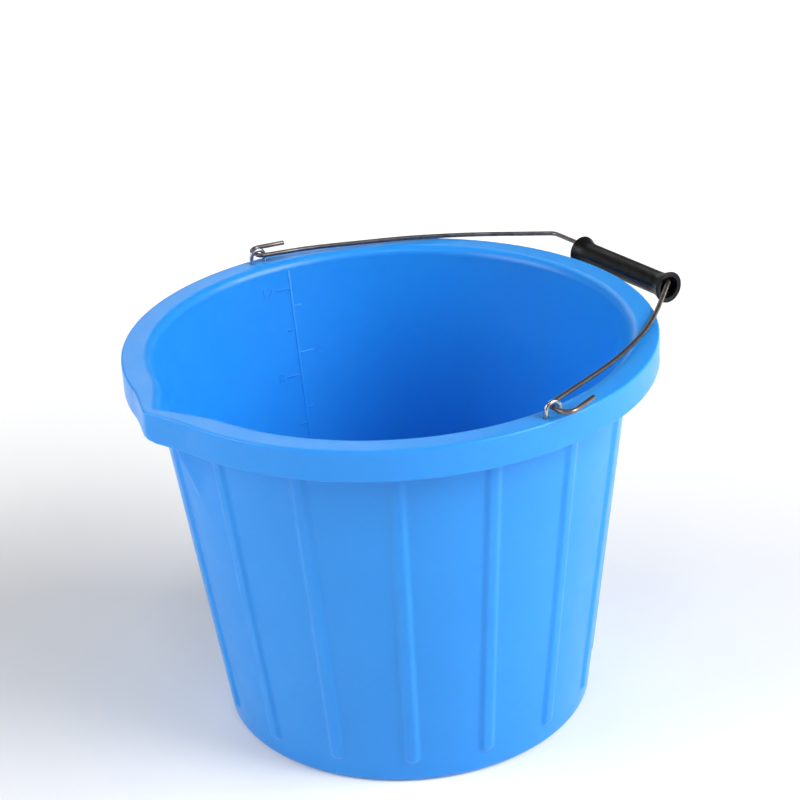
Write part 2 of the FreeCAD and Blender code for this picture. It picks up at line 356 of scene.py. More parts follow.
@dataclass(frozen=True)
class MouldedPolypropylene:
    """Injection-moulded polypropylene: even pigment, satin skin, faint flow and cooling waves."""

    pigment: str = "#2593e6"
    dense_pigment: str = "#1f8cdf"    # where the pigment lies a little denser
    ior: float = 1.49
    shine: float = 0.40  # a moulded skin shines a little less than a polished one
    glow: float = 0.50  # share of the light that enters the milky plastic
    glow_depth: float = 5.0  # how far blue light travels in it, mm, twice the wall's thickness
    glow_reach: tuple = (0.25, 0.75, 1.0)  # share of that depth that each colour reaches
    smooth_skin: float = 0.30  # roughness of the glossier patches
    dull_skin: float = 0.40  # roughness of the duller patches
    skin_range: tuple = (0.3, 0.7)  # noise values from one to the other
    flow: float = 70.0  # size of the pigment's drifts, mm
    patch: float = 18.0  # size of the gloss patches, mm
    peel: float = 1.1  # grain of the skin, mm, drawn coarser than the real 0.3
    peel_depth: float = 0.012  # mm
    sink: float = 24.0  # width of the cooling waves, mm
    sink_depth: float = 0.10  # mm

    def build(self) -> bpy.types.Material:
        """Make the material.

        Returns:
            The material.
        """
        material, tree, shader, places = start_material("polypropylene_moulded_blue")
        drift = add_node(tree, "ShaderNodeTexNoise",
                         values={"Scale": per_metre(self.flow), "Detail": 3.0, "Roughness": 0.5},
                         links={"Vector": places})
        tint = add_node(tree, "ShaderNodeMix", settings={"data_type": "RGBA"},
                        values={MIX_FIRST: linear(self.pigment),
                                MIX_SECOND: linear(self.dense_pigment)},
                        links={MIX_SHARE: drift.outputs["Fac"]})
        gloss = add_node(tree, "ShaderNodeTexNoise",
                         values={"Scale": per_metre(self.patch), "Detail": 4.0},
                         links={"Vector": places})
        skin = add_node(tree, "ShaderNodeMapRange",
                        values={"From Min": self.skin_range[0], "From Max": self.skin_range[1],
                                "To Min": self.smooth_skin, "To Max": self.dull_skin},
                        links={"Value": gloss.outputs["Fac"]})
        grain = add_node(tree, "ShaderNodeTexNoise",
                         values={"Scale": per_metre(self.peel), "Detail": 2.0},
                         links={"Vector": places})
        wave = add_node(tree, "ShaderNodeTexNoise",
                        values={"Scale": per_metre(self.sink), "Detail": 1.0},
                        links={"Vector": places})
        waved = add_node(tree, "ShaderNodeBump",
                         values={"Strength": 1.0, "Distance": self.sink_depth * MM},
                         links={"Height": wave.outputs["Fac"]})
        peeled = add_node(tree, "ShaderNodeBump",
                          values={"Strength": 1.0, "Distance": self.peel_depth * MM},
                          links={"Height": grain.outputs["Fac"], "Normal": waved.outputs["Normal"]})
        shader.inputs["IOR"].default_value = self.ior
        shader.inputs["Specular IOR Level"].default_value = self.shine
        shader.inputs["Subsurface Weight"].default_value = self.glow
        shader.inputs["Subsurface Scale"].default_value = self.glow_depth * MM
        shader.inputs["Subsurface Radius"].default_value = self.glow_reach
        tree.links.new(tint.outputs[MIX_RESULT], shader.inputs["Base Color"])
        tree.links.new(skin.outputs["Result"], shader.inputs["Roughness"])
        tree.links.new(peeled.outputs["Normal"], shader.inputs["Normal"])
        return material


@dataclass(frozen=True)
class DrawnWire:
    """Steel wire drawn through a die: bright metal, finely roughened, with dulled patches."""

    name: str
    metal: str
    dulled: str
    bright: float  # roughness of clean metal
    dull: float  # roughness of dulled metal
    patch: float = 4.0  # size of the dulled patches, mm
    patch_range: tuple = (0.38, 0.62)  # noise values from clean to dulled
    grain: float = 0.35  # size of the fine unevenness of the skin, mm
    grain_depth: float = 0.02  # mm

    def build(self) -> bpy.types.Material:
        """Make the material.

        Returns:
            The material.
        """
        material, tree, shader, places = start_material(self.name)
        bloom = add_node(tree, "ShaderNodeTexNoise",
                         values={"Scale": per_metre(self.patch), "Detail": 5.0, "Roughness": 0.6},
                         links={"Vector": places})
        share = add_node(tree, "ShaderNodeMapRange",
                         values={"From Min": self.patch_range[0],
                                 "From Max": self.patch_range[1]},
                         links={"Value": bloom.outputs["Fac"]})
        tint = add_node(tree, "ShaderNodeMix", settings={"data_type": "RGBA"},
                        values={MIX_FIRST: linear(self.metal), MIX_SECOND: linear(self.dulled)},
                        links={MIX_SHARE: share.outputs["Result"]})
        rough = add_node(tree, "ShaderNodeMapRange",
                         values={"To Min": self.bright, "To Max": self.dull},
                         links={"Value": share.outputs["Result"]})
        pits = add_node(tree, "ShaderNodeTexNoise",
                        values={"Scale": per_metre(self.grain), "Detail": 2.0},
                        links={"Vector": places})
        skin = add_node(tree, "ShaderNodeBump",
                        values={"Strength": 1.0, "Distance": self.grain_depth * MM},
                        links={"Height": pits.outputs["Fac"]})
        shader.inputs["Metallic"].default_value = 1.0
        tree.links.new(tint.outputs[MIX_RESULT], shader.inputs["Base Color"])
        tree.links.new(rough.outputs["Result"], shader.inputs["Roughness"])
        tree.links.new(skin.outputs["Normal"], shader.inputs["Normal"])
        return material


ZINC_PLATED = DrawnWire(name="steel_wire_zinc_plated", metal="#b9bcc2", dulled="#8f9297",
                        bright=0.20, dull=0.36)
BARE_STEEL = DrawnWire(name="steel_wire_drawn_bare", metal="#8f8884", dulled="#6c6561",
                       bright=0.28, dull=0.40, patch=9.0, grain_depth=0.012)


@dataclass(frozen=True)
class MouldedPolyethylene:
    """Black polyethylene sleeve: carbon-dark, half-matt, with a waxy skin and light handling wear."""

    pigment: str = "#070708"
    worn: str = "#0f0f10"
    ior: float = 1.51
    shine: float = 0.22
    skin: float = 0.36  # roughness where hands haven't worn it
    worn_skin: float = 0.52  # roughness of the worn patches
    patch: float = 6.0  # size of the worn patches, mm
    patch_range: tuple = (0.4, 0.7)  # noise values from unworn to worn
    grain: float = 0.8  # mm
    grain_depth: float = 0.03  # mm

    def build(self) -> bpy.types.Material:
        """Make the material.

        Returns:
            The material.
        """
        material, tree, shader, places = start_material("polyethylene_moulded_black")
        wear = add_node(tree, "ShaderNodeTexNoise",
                        values={"Scale": per_metre(self.patch), "Detail": 5.0},
                        links={"Vector": places})
        share = add_node(tree, "ShaderNodeMapRange",
                         values={"From Min": self.patch_range[0],
                                 "From Max": self.patch_range[1]},
                         links={"Value": wear.outputs["Fac"]})
        tint = add_node(tree, "ShaderNodeMix", settings={"data_type": "RGBA"},
                        values={MIX_FIRST: linear(self.pigment), MIX_SECOND: linear(self.worn)},
                        links={MIX_SHARE: share.outputs["Result"]})
        rough = add_node(tree, "ShaderNodeMapRange",
                         values={"To Min": self.skin, "To Max": self.worn_skin},
                         links={"Value": share.outputs["Result"]})
        pores = add_node(tree, "ShaderNodeTexNoise",
                         values={"Scale": per_metre(self.grain), "Detail": 2.0},
                         links={"Vector": places})
        skin = add_node(tree, "ShaderNodeBump",
                        values={"Strength": 1.0, "Distance": self.grain_depth * MM},
                        links={"Height": pores.outputs["Fac"]})
        shader.inputs["IOR"].default_value = self.ior
        shader.inputs["Specular IOR Level"].default_value = self.shine
        tree.links.new(tint.outputs[MIX_RESULT], shader.inputs["Base Color"])
        tree.links.new(rough.outputs["Result"], shader.inputs["Roughness"])
        tree.links.new(skin.outputs["Normal"], shader.inputs["Normal"])
        return material


@dataclass(frozen=True)
class PaintedFloor:
    """Matt white studio floor with a trace of roller texture and a painted glow: it gives off light of
    its own, least under the bucket and most far from it.
    """

    paint: str = "#e8e8e8"
    near_glow: float = 0.10  # strength of the painted glow under the bucket, where it is weakest
    far_glow: float = 0.55  # strength of the painted glow far from it, which keeps the floor pale
    glow_from: float = 0.25  # distance from the middle where the glow starts to grow, m
    glow_to: float = 1.4  # distance where it is full, m
    shine: float = 0.1
    roughness: float = 0.9
    roller: float = 3.0  # size of the roller's dots, mm
    roller_depth: float = 0.05  # mm

    def build(self) -> bpy.types.Material:
        """Make the material.

        Returns:
            The material.
        """
        material, tree, shader, places = start_material("floor_paint_white_matt")
        stipple = add_node(tree, "ShaderNodeTexNoise",
                           values={"Scale": per_metre(self.roller)}, links={"Vector": places})
        bump = add_node(tree, "ShaderNodeBump",
                        values={"Strength": 1.0, "Distance": self.roller_depth * MM},
                        links={"Height": stipple.outputs["Fac"]})
        shader.inputs["Base Color"].default_value = linear(self.paint)
        shader.inputs["Roughness"].default_value = self.roughness
        shader.inputs["Specular IOR Level"].default_value = self.shine
        # Painted light: the floor glows white, weakly under the bucket and more strongly farther out.
        shader.inputs["Emission Color"].default_value = linear(WHITE)
        reach = add_node(tree, "ShaderNodeVectorMath", settings={"operation": "LENGTH"},
                         links={0: places})
        painted_glow = add_node(tree, "ShaderNodeMapRange",
                       settings={"interpolation_type": "SMOOTHSTEP"},
                       values={"From Min": self.glow_from, "From Max": self.glow_to,
                               "To Min": self.near_glow, "To Max": self.far_glow},
                       links={"Value": reach.outputs["Value"]})
        tree.links.new(painted_glow.outputs["Result"], shader.inputs["Emission Strength"])
        tree.links.new(bump.outputs["Normal"], shader.inputs["Normal"])
        return material


# ---- bucket moulding ----

@dataclass
class BucketMoulding:
    """The whole blue moulding: base, ribbed wall, flanged rim with skirt, and pouring lip.

    The loops are radii or heights of the rings of edges that the mesh has beyond those that its
    outline needs, close together where the lip or the ribs push it out.
    """

    height: float = 252.0  # to the flange's top
    base_radius: float = 118.0
    slope: float = 0.128  # growth of the wall's radius for each millimetre of height
    wall: float = 2.5
    floor: float = 3.0
    base_edge: float = 5.0  # rounding outside, from base to wall
    floor_corner: float = 8.0  # rounding inside, from floor to wall
    rim_radius: float = 166.0
    rim_thickness: float = 2.5
    rim_edge: float = 1.4  # rounding of the flange's outer top edge
    mouth: float = 6.2  # rounding of its inner top edge
    wall_root: float = 1.2  # bevel where the wall meets the flange
    skirt_root: tuple = (2.5, 2.0)  # bevel where the skirt meets it, across and down
    skirt_drop: float = 19.2  # from the flange's top to the hem
    skirt_thickness: float = 2.4
    hem_round: float = 0.9
    lip_out: float = 7.3  # reach of the skirt's point beyond the round rim
    lip_out_half: float = 31.0  # half its width
    lip_out_taper: float = 1.5  # power by which its sides curve
    lip_in: float = 15.5  # reach of the channel's point beyond the round mouth
    lip_in_half: float = 40.0
    lip_in_taper: float = 1.6
    lip_foot: float = 185.0  # height where the channel runs out
    lip_foot_half: float = 1.5
    lip_crease: float = 1.2  # softness of the point's crease
    lip_tuck: float = 1.2  # how far the hem draws back under the point
    lip_tuck_rise: float = 4.0
    lip_tuck_half: float = 6.0
    skirt_from: tuple = (160.0, 220.0)  # least radius and height of the skirt's points
    ribs: int = 16
    rib_width: float = 11.0
    rib_proud: float = 1.8
    rib_flank: float = 0.6  # share of the half width that slopes
    rib_foot: float = 20.0  # height where the round foot's middle is
    rib_low: float = 8.0  # least height of a rib
    rib_gap: float = 0.5  # between a rib and the flange
    wall_touch: float = 0.05  # a point this near the wall's surface lies on it
    eye_x: float = 160.0
    eye_y: float = 2.0
    eye_half_span: float = 5.0
    eye_hole: float = 1.75  # radius
    drill_depth: float = 8.0
    drill_sides: int = 24
    turn_parts: int = 720
    crease: float = 35.0  # sharper edges than this angle stay crisp
    base_loops: tuple = (0.0, 40.0, 80.0, 105.0)
    rib_foot_loops: tuple = (9.0, 12.0, *steps(13.0, 25.0, 12))
    outer_loops: tuple = (55.0, 85.0, 115.0, 145.0, 170.0)
    lip_loops_top: float = 233.0
    rib_top_loops: tuple = (238.0, 244.0)
    skirt_loops: tuple = (241.0, 236.0)
    rim_loops: tuple = (234.8, 236.5, 240.0, 245.0)
    inner_loops: tuple = (160.0, 130.0, 100.0, 70.0, 40.0, 20.0)
    floor_loops: tuple = (80.0, 40.0, 0.0)

    @property
    def lean(self) -> float:
        """Lean of the wall in radians."""
        return math.atan(self.slope)

    @property
    def under(self) -> float:
        """Height of the flange's underside."""
        return self.height - self.rim_thickness

    @property
    def hem(self) -> float:
        """Height of the skirt's hem."""
        return self.height - self.skirt_drop

    @property
    def skirt(self) -> float:
        """Inner radius of the skirt."""
        return self.rim_radius - self.skirt_thickness

    @property
    def mouth_radius(self) -> float:
        """Radius where the flat flange turns down into the mouth."""
        return self.inner(self.height - self.mouth) + self.mouth

    def outer(self, z: float) -> float:
        """Outer radius of the plain wall at height z."""
        return self.base_radius + self.slope * z

    def inner(self, z: float) -> float:
        """Inner radius of the plain wall at height z."""
        return self.outer(z) - self.wall

    def outside(self) -> list[tuple[float, float]]:
        """Radius and height of the section from the base's middle up to the flange's underside.

        Returns:
            The points of that stretch.
        """
        points = [(r, 0.0) for r in self.base_loops]
        points += arc((self.outer(self.base_edge) - self.base_edge, self.base_edge),
                      self.base_edge, -90.0, -math.degrees(self.lean), 6)
        heights = [*self.rib_foot_loops, *self.outer_loops]
        heights += steps(self.lip_foot, self.lip_loops_top, 16)
        heights += [*self.rib_top_loops, self.under - self.wall_root]
        points += [(self.outer(z), z) for z in heights]
        return points + [(self.outer(self.under) + self.wall_root, self.under)]

    def rim(self) -> list[tuple[float, float]]:
        """Radius and height of the section down the skirt, round its hem and up to the flange's top.

        Returns:
            The points of that stretch.
        """
        across, down = self.skirt_root
        points = [(self.skirt - across, self.under), (self.skirt, self.under - down)]
        points += [(self.skirt, z) for z in self.skirt_loops]
        middle = self.hem + self.hem_round
        points += arc((self.skirt + self.hem_round, middle), self.hem_round, 180.0, 270.0, 3)
        points += arc((self.rim_radius - self.hem_round, middle), self.hem_round, -90.0, 0.0, 3)
        points += [(self.rim_radius, z) for z in self.rim_loops]
        flat = self.rim_radius - self.rim_edge
        points += arc((flat, self.height - self.rim_edge), self.rim_edge, 0.0, 90.0, 7)
        return points + [(r, self.height) for r in steps(flat, self.mouth_radius, 6)[1:-1]]

    def inside(self) -> list[tuple[float, float]]:
        """Radius and height of the section from the mouth down to the floor's middle.

        Returns:
            The points of that stretch.
        """
        top = self.height - self.mouth
        points = arc((self.mouth_radius, top), self.mouth, 90.0, 180.0, 8)
        points += [(self.inner(z), z) for z in steps(top, self.lip_foot, 25)[1:]]
        points += [(self.inner(z), z) for z in self.inner_loops]
        corner = self.floor + self.floor_corner
        points += arc((self.inner(corner) - self.floor_corner, corner), self.floor_corner,
                      -math.degrees(self.lean), -90.0, 6)
        return points + [(r, self.floor) for r in self.floor_loops]

    def lip_weights(self, places: np.ndarray) -> np.ndarray:
        """Share of the channel's full reach for each mesh point.

        Args:
            places: Mesh points in millimetres.

        Returns:
            One weight for each point.
        """
        x, y, z = places.T
        radius = np.hypot(x, y)
        aside = np.sqrt(x * x + self.lip_crease ** 2) - self.lip_crease
        rise = np.clip((z - self.lip_foot) / (self.height - self.lip_foot), 0.0, 1.0)
        half_in = self.lip_foot_half + (self.lip_in_half - self.lip_foot_half) * rise
        channel = self.lip_in * rise
        channel = channel * np.clip(1.0 - aside / half_in, 0.0, 1.0) ** self.lip_in_taper
        point = np.clip(1.0 - aside / self.lip_out_half, 0.0, 1.0) ** self.lip_out_taper
        flange = self.skirt - self.mouth_radius
        across = np.clip((radius - self.mouth_radius) / flange, 0.0, 1.0)
        reach = channel + (self.lip_out * point - channel) * across
        least_radius, least_height = self.skirt_from
        tuck = ease(1.0 - (z - self.hem) / self.lip_tuck_rise) * ease(1.0 - aside / self.lip_tuck_half)
        tuck = tuck * (radius > least_radius) * (z > least_height)
        reach = np.clip(reach - self.lip_tuck * tuck, 0.0, None)
        return np.where((y < 0.0) & (z > self.lip_foot), reach, 0.0) / self.lip_in

    def rib_weights(self, places: np.ndarray) -> np.ndarray:
        """Share of the ribs' height for each mesh point.

        Args:
            places: Mesh points in millimetres.

        Returns:
            One weight for each point.
        """
        x, y, z = places.T
        radius = np.hypot(x, y)
        pitch = 2.0 * math.pi / self.ribs
        turn = np.arctan2(y, x) / pitch - 0.5
        aside = (turn - np.round(turn)) * pitch * radius
        below = np.clip(self.rib_foot - z, 0.0, None) / math.cos(self.lean)
        share = np.hypot(aside, below) / (self.rib_width / 2.0)
        on_wall = np.abs(radius - self.outer(z)) < self.wall_touch
        shown = on_wall & (z > self.rib_low) & (z < self.under - self.rib_gap)
        return np.where(shown, ease((1.0 - share) / self.rib_flank), 0.0)

    def drill_eye_holes(self, piece: bpy.types.Object) -> None:
        """Cut the four holes for the legs of the eyes through the flange.

        Args:
            piece: The moulding.
        """
        drills = []
        for side in Side:
            for leg in (-1, 1):
                deselect()
                bpy.ops.mesh.primitive_cylinder_add(
                    vertices=self.drill_sides, radius=self.eye_hole * MM,
                    depth=self.drill_depth * MM,
                    location=(side.value * self.eye_x * MM,
                              (self.eye_y + leg * self.eye_half_span) * MM, self.height * MM))
                drills.append(name_new("drill"))
        cutter = join(drills)
        bpy.ops.object.transform_apply(location=True, rotation=True, scale=True)
        combine(piece, cutter, "DIFFERENCE")

    def make(self) -> bpy.types.Object:
        """Build the moulding as one closed mesh.

        Returns:
            The finished piece.
        """
        outline = self.outside() + self.rim() + self.inside()
        chain = [Vector((r * MM, 0.0, z * MM)) for r, z in outline]
        piece = draw_outline("bucket_moulding", chain)
        turn_outline(Vector((0.0, 0.0, 0.0)), Vector((0.0, 0.0, 1.0)), self.turn_parts, self.ribs)
        places = points_of(piece)
        rib_share = self.rib_weights(places)
        push_out(piece, "lip", self.lip_weights(places), "Y", -self.lip_in)
        push_out(piece, "ribs", rib_share, "NORMAL", self.rib_proud)
        self.drill_eye_holes(piece)
        return piece


@dataclass
class MeasuringScale:
    """Upright line with ticks and numerals, raised a little from the inside of the wall."""

    bucket: BucketMoulding
    angle: float = 173.5  # of the line, in degrees from the right eye towards the grip's side
    proud: float = 0.32
    sunk: float = 0.5  # how deep the marks' roots reach into the wall
    edge: float = 0.3  # softening of the bars' edges
    line: float = 1.6  # width of the line
    bottom: float = 14.0
    top: float = 246.0
    tick: float = 1.4
    long_tick: float = 11.0  # beside a numeral
    short_tick: float = 6.0
    gallons: tuple = ((221.0, ""), (188.0, "2"), (149.0, ""), (110.0, "1"), (64.5, ""))
    litres: tuple = ((234.0, "12"), (205.0, ""), (173.0, "8"), (138.0, ""), (99.0, "4"), (59.0, ""))
    numeral: float = 10.0  # size of the type
    half_digit: float = 2.6
    numeral_gap: float = 1.5
    curve_parts: int = 6

    def on_wall(self, aside: float, z: float) -> Matrix:
        """Place on the inner wall.

        Args:
            aside: Distance from the line towards the grip's side, in millimetres.
            z: Height in millimetres.

        Returns:
            Matrix with X sideways, Y up the wall and Z towards the middle of the bucket.
        """
        radius = self.bucket.inner(z)
        turn = math.radians(self.angle) - aside / radius
        outward = Vector((math.cos(turn), math.sin(turn), 0.0))
        up = Vector((0.0, 0.0, 1.0))
        along = outward.cross(up)
        rise = outward * math.sin(self.bucket.lean) + up * math.cos(self.bucket.lean)
        facing = along.cross(rise)
        matrix = Matrix((along, rise, facing)).transposed().to_4x4()
        matrix.translation = (outward * radius + up * z) * MM
        return matrix

    def settle(self, part: bpy.types.Object, place: Matrix) -> bpy.types.Object:
        """Put a mark at its place on the wall and apply it to the mesh.

        Args:
            part: The mark.
            place: Its place on the wall.

        Returns:
            The same mark.
        """
        part.matrix_world = place
        activate(part)
        bpy.ops.object.transform_apply(location=True, rotation=True, scale=True)
        return part

    def bar(self, aside: float, z: float, width: float, length: float) -> bpy.types.Object:
        """Raised bar with softened edges.

        Args:
            aside: Sideways place of its middle.
            z: Height of its middle.
            width: Size across.
            length: Size up the wall.

        Returns:
            The bar.
        """
        deselect()
        bpy.ops.mesh.primitive_cube_add(size=MM, location=(0.0, 0.0, 0.0))
        part = name_new("scale_bar")
        bpy.ops.object.mode_set(mode="EDIT")
        bpy.ops.mesh.select_all(action="SELECT")
        bpy.ops.transform.resize(value=(width, length, self.proud + self.sunk))
        bpy.ops.transform.translate(value=(0.0, 0.0, (self.proud - self.sunk) / 2.0 * MM))
        bpy.ops.mesh.bevel(offset=self.edge * MM, segments=2, affect="EDGES")
        bpy.ops.object.mode_set(mode="OBJECT")
        return self.settle(part, self.on_wall(aside, z))

    def number(self, text: str, aside: float, z: float) -> bpy.types.Object:
        """Raised numeral.

        Args:
            text: Its digits.
            aside: Sideways place of its middle.
            z: Height of its middle.

        Returns:
            The numeral as a mesh.
        """
        deselect()
        bpy.ops.object.text_add(location=(0.0, 0.0, 0.0))
        label = bpy.context.object
        label.data.body = text
        label.data.size = self.numeral * MM
        label.data.align_x = "CENTER"
        label.data.align_y = "CENTER"
        label.data.extrude = (self.proud + self.sunk) / 2.0 * MM
        label.data.resolution_u = self.curve_parts
        bpy.ops.object.convert(target="MESH")
        part = name_new("scale_number")
        bpy.ops.object.mode_set(mode="EDIT")
        close_up()
        bpy.ops.object.mode_set(mode="OBJECT")
        lifted = Matrix.Translation((0.0, 0.0, (self.proud - self.sunk) / 2.0 * MM))
        return self.settle(part, self.on_wall(aside, z) @ lifted)

    def add_to(self, piece: bpy.types.Object) -> None:
        """Raise the whole scale on the moulding's inner wall.

        Args:
            piece: The moulding, which the marks become part of.
        """
        middle = (self.bottom + self.top) / 2.0
        length = (self.top - self.bottom) / math.cos(self.bucket.lean)
        line = self.bar(0.0, middle, self.line, length)
        marks = []
        for way, ticks in ((1, self.gallons), (-1, self.litres)):
            for z, text in ticks:
                reach = self.long_tick if text else self.short_tick
                marks.append(self.bar(way * reach / 2.0, z, reach, self.tick))
                if text:
                    offset = reach + self.numeral_gap + self.half_digit * len(text)
                    marks.append(self.number(text, way * offset, z))
        combine(line, join(marks), "UNION")
        combine(piece, line, "UNION")


# ---- wire ----

@dataclass
class WirePen:
    """Draws round wire: its end ring is extruded along each run and spun round each bend."""

    radius: float
    sides: int = 24
    chamfer: float = 0.25  # dulled edge of the cut ends
    bend_step: float = 4.0  # most degrees between rings in a bend
    bend_least: int = 3  # fewest steps in a bend
    crease: float = 40.0  # sharper edges than this angle stay crisp

    def draw(self, name: str, corners: list[Vector], bends: list[float]) -> bpy.types.Object:
        """Draw a wire through corners, each inner one turned by an arc.

        Args:
            name: Name of the new piece.
            corners: Corner points in metres, cut ends included.
            bends: Radius of each inner corner's arc in millimetres.

        Returns:
            The finished wire.
        """
        heading = (corners[1] - corners[0]).normalized()
        deselect()
        bpy.ops.mesh.primitive_circle_add(
            vertices=self.sides, radius=self.radius * MM, fill_type="NGON", location=corners[0],
            rotation=heading.to_track_quat("Z", "Y").to_euler())
        piece = name_new(name)
        bpy.ops.object.transform_apply(location=True, rotation=True, scale=True)
        bpy.ops.object.mode_set(mode="EDIT")
        bpy.ops.mesh.select_mode(type="FACE")
        bpy.ops.mesh.select_all(action="SELECT")
        last = corners[0]
        for before, corner, after, bend in zip(corners, corners[1:], corners[2:], bends):
            back = (before - corner).normalized()
            ahead = (after - corner).normalized()
            half = back.angle(ahead) / 2.0
            reach = bend * MM / math.tan(half)
            self.run(last, corner + back * reach)
            middle = corner + (back + ahead).normalized() * (bend * MM / math.sin(half))
            turn = math.pi - 2.0 * half
            axis = (-back).cross(ahead).normalized()
            parts = max(self.bend_least, math.ceil(math.degrees(turn) / self.bend_step))
            # The operator turns clockwise about its axis.
            bpy.ops.mesh.spin(steps=parts, angle=-turn, center=middle, axis=axis,
                              use_auto_merge=False)
            last = corner + ahead * reach
        self.run(last, corners[-1])
        self.finish_ends()
        bpy.ops.object.mode_set(mode="OBJECT")
        return piece

    def run(self, start: Vector, end: Vector) -> None:
        """Extrude the end ring along a straight run, unless the run has no length."""
        if (end - start).length > WELD:
            bpy.ops.mesh.extrude_region_move(TRANSFORM_OT_translate={"value": end - start})

    def finish_ends(self) -> None:
        """Turn the faces outwards and break the edges of both cut ends."""
        close_up()
        bpy.ops.mesh.select_all(action="DESELECT")
        bpy.ops.mesh.select_face_by_sides(number=self.sides, type="EQUAL")
        bpy.ops.mesh.bevel(offset=self.chamfer * MM, segments=2, affect="EDGES")


@dataclass
class Eye:
    """Zinc-plated staple: two legs through the flange under a round arch, with clinched ends."""

    side: Side
    bucket: BucketMoulding
    radius: float = 1.4
    rise: float = 10.0  # of the arch's top above the flange
    clinch_bend: float = 2.0
    clinch_length: float = 4.5

    def make(self) -> bpy.types.Object:
        """Build the staple.

        Returns:
            The finished piece.
        """
        span = self.bucket.eye_half_span
        x = self.side.value * self.bucket.eye_x
        low = self.bucket.under - self.clinch_bend
        high = self.bucket.height + self.rise - self.radius
        tail = span + self.clinch_bend + self.clinch_length
        flat = [(-tail, low), (-span, low), (-span, high), (span, high), (span, low), (tail, low)]
        corners = [Vector((x, y + self.bucket.eye_y, z)) * MM for y, z in flat]
        bends = [self.clinch_bend, span, span, self.clinch_bend]
        name = "eye_" + self.side.name.lower() + "_staple"
        return WirePen(self.radius).draw(name, corners, bends)


@dataclass
class Bail:
    """Hand-bent wire bail: a hook in each eye, two bowed sides and a straight bar for the grip.

    Each corner is a distance from the middle and from the pivot line, and has its bend's radius.
    """

    pivot_y: float = 2.0
    pivot_z: float = 257.2
    rest_angle: float = -1.50
    radius: float = 1.5
    hook_corner: float = 174.0
    hook_tail: tuple = (166.0, 24.6, 1.6)  # the cut end, above the bail's plane
    hook_bend: float = 6.0
    right_corners: tuple = ((156.0, 0.0), (131.0, 69.5), (107.5, 113.0), (85.0, 142.2), (51.0, 181.0))
    right_bends: tuple = (3.2, 280.0, 200.0, 400.0, 7.0)
    left_corners: tuple = ((157.7, 0.0), (149.5, 36.0), (122.0, 102.0), (100.0, 137.5), (66.5, 181.0))
    left_bends: tuple = (3.2, 180.0, 220.0, 350.0, 7.0)

    def place(self, x: float, y: float, z: float) -> Vector:
        """Point of the bail's own plane at rest.

        Args:
            x: Distance from the middle, in millimetres.
            y: Distance from the pivot line.
            z: Distance above the bail's plane.

        Returns:
            The point in metres.
        """
        turned = Matrix.Rotation(math.radians(self.rest_angle), 3, "X") @ Vector((x, y, z))
        return (turned + Vector((0.0, self.pivot_y, self.pivot_z))) * MM

    def half(self, side: Side, corners: tuple) -> list[Vector]:
        """Corner points of one side from its cut end inwards.

        Args:
            side: The side.
            corners: Its corners between the hook and the bar.

        Returns:
            The points in metres.
        """
        x, y, z = self.hook_tail
        ends = [self.place(side.value * x, y, z), self.place(side.value * self.hook_corner, 0.0, 0.0)]
        return ends + [self.place(side.value * cx, cy, 0.0) for cx, cy in corners]

    def make(self) -> bpy.types.Object:
        """Build the bail as one wire.

        Returns:
            The finished piece.
        """
        corners = self.half(Side.RIGHT, self.right_corners)
        corners += self.half(Side.LEFT, self.left_corners)[::-1]
        bends = [self.hook_bend, *self.right_bends, *self.left_bends[::-1], self.hook_bend]
        return WirePen(self.radius).draw("bail_bent_wire", corners, bends)


# ---- hand grip ----

@dataclass
class HandGrip:
    """Black sleeve round the bail's bar, flared like a trumpet at both ends, loose on the wire."""

    bail: Bail
    reach: float = 181.0  # from the pivot line to the bail's bar
    drop: float = 4.5  # of the loose sleeve's axis below the wire's
    slide: float = 7.4  # of its middle from the bucket's, to the right
    half_length: float = 44.5
    bore: float = 6.2
    recess: float = 7.1
    recess_depth: float = 5.0
    flare: tuple = ((0.0, 7.6), (20.0, 7.6), (33.5, 7.6), (35.5, 7.72), (37.0, 7.95), (38.5, 8.35),
                    (40.0, 8.85), (41.2, 9.35), (42.2, 9.8), (42.9, 10.12), (43.4, 10.27),
                    (43.8, 10.3), (44.15, 10.2), (44.4, 9.95), (44.5, 9.6))
    face: tuple = ((44.5, 8.9), (44.25, 8.75), (44.1, 8.3), (44.1, 7.6), (44.0, 7.25), (43.7, 7.1))
    bore_loop: float = 20.0  # distance of two rings of edges from the bore's middle
    turn_parts: int = 96
    sectors: int = 4
    seam: float = 0.16  # height of the mould's parting line
    seam_half: float = 0.3  # half its width
    seam_reach: float = 42.0  # its ends' distance from the middle
    seam_radius: float = 7.4  # least radius of the skin that it stands on
    crease: float = 35.0  # sharper edges than this angle stay crisp

    def outline(self) -> list[tuple[float, float]]:
        """Distance along and from the axis of the section, round one end, the bore and back.

        Returns:
            The points, from the outside's middle almost round to it again.
        """
        end = self.half_length - self.recess_depth
        out = list(self.flare) + list(self.face) + [(end, self.recess), (end, self.bore)]
        back = [(-x, r) for x, r in reversed(out[1:])]
        return out + [(x, self.bore) for x in (self.bore_loop, 0.0, -self.bore_loop)] + back

    def make(self) -> bpy.types.Object:
        """Build the sleeve.

        Returns:
            The finished piece.
        """
        centre = self.bail.place(self.slide, self.reach, -self.drop)
        section = self.outline()
        chain = [centre + Vector((x, 0.0, r)) * MM for x, r in section + section[:1]]
        piece = draw_outline("hand_grip_sleeve", chain)
        bpy.ops.mesh.remove_doubles(threshold=WELD)
        turn_outline(centre, Vector((1.0, 0.0, 0.0)), self.turn_parts, self.sectors)
        places = points_of(piece) - np.array(centre) / MM
        along, across, up = places.T
        radius = np.hypot(across, up)
        on_seam = ((np.abs(up) < self.seam_half) & (radius > self.seam_radius)
                   & (np.abs(along) < self.seam_reach))
        push_out(piece, "seam", on_seam.astype(float), "NORMAL", self.seam)
        return piece


# ---- studio ----

